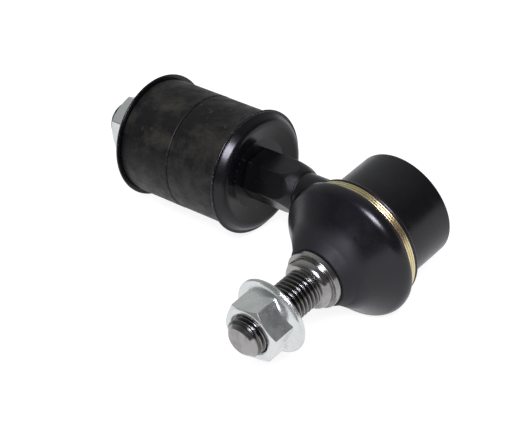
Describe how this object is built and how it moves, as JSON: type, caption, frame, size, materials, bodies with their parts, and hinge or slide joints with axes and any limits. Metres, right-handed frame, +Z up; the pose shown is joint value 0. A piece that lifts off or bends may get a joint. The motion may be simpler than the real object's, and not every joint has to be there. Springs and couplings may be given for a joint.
{
  "type": "stabilizer link",
  "caption": "Short suspension link with a booted ball stud at one end and, at right angles to it, a threaded stem carrying two rubber bushes between cup washers.",
  "frame": {"origin": "centre of the seat ring on the ball stud's collar", "axes": "-Y along the ball stud towards its threaded tip, -X along the stem towards the lock nut, +Z up as the link lies on a table"},
  "size_m": [0.1075, 0.0685, 0.0364],
  "materials": {
    "forged_body": "satin black paint",
    "black_paint": "gloss black paint",
    "bright_steel": "turned steel",
    "zinc": "bright zinc plate",
    "clip_wire": "yellow zinc plate",
    "boot_rubber": "semi-gloss",
    "bush_rubber": "matte, dusty",
    "resin": "natural"
  },
  "bodies": {
    "link": {"link_body": "forged_body", "end_plate": "forged_body", "ball_seat": "resin", "inner_washer": "black_paint", "inner_bush": "bush_rubber", "distance_sleeve": "bright_steel", "outer_bush": "bush_rubber", "outer_washer": "black_paint"},
    "boot": {"dust_boot": "boot_rubber", "boot_clip_ring": "clip_wire"},
    "boot_mouth": {"boot_mouth_ring": "bright_steel"},
    "stud": {"ball_stud": "bright_steel"},
    "stud_nut": {"flange_nut": "zinc"},
    "stem_nut": {"lock_nut": "zinc"}
  },
  "joints": [
    {"name": "boot_turn", "type": "hinge", "parent": "link", "child": "boot", "pos_m": [0, 0.0249, 0], "axis": [0, -1, 0], "continuous": true},
    {"name": "stud_tilt", "type": "hinge", "parent": "boot", "child": "boot_mouth", "pos_m": [0, 0.0249, 0], "axis": [0, 0, 1], "range_deg": [-20, 20], "deforming": ["dust_boot"]},
    {"name": "stud_spin", "type": "hinge", "parent": "boot_mouth", "child": "stud", "pos_m": [0, 0.0249, 0], "axis": [0, -1, 0], "continuous": true},
    {"name": "flange_nut_travel", "type": "slide", "parent": "stud", "child": "stud_nut", "axis": [0, -1, 0], "range_m": [-0.0112, 0.0125]},
    {"name": "lock_nut_travel", "type": "slide", "parent": "link", "child": "stem_nut", "axis": [-1, 0, 0], "range_m": [0, 0.0135]}
  ]
}
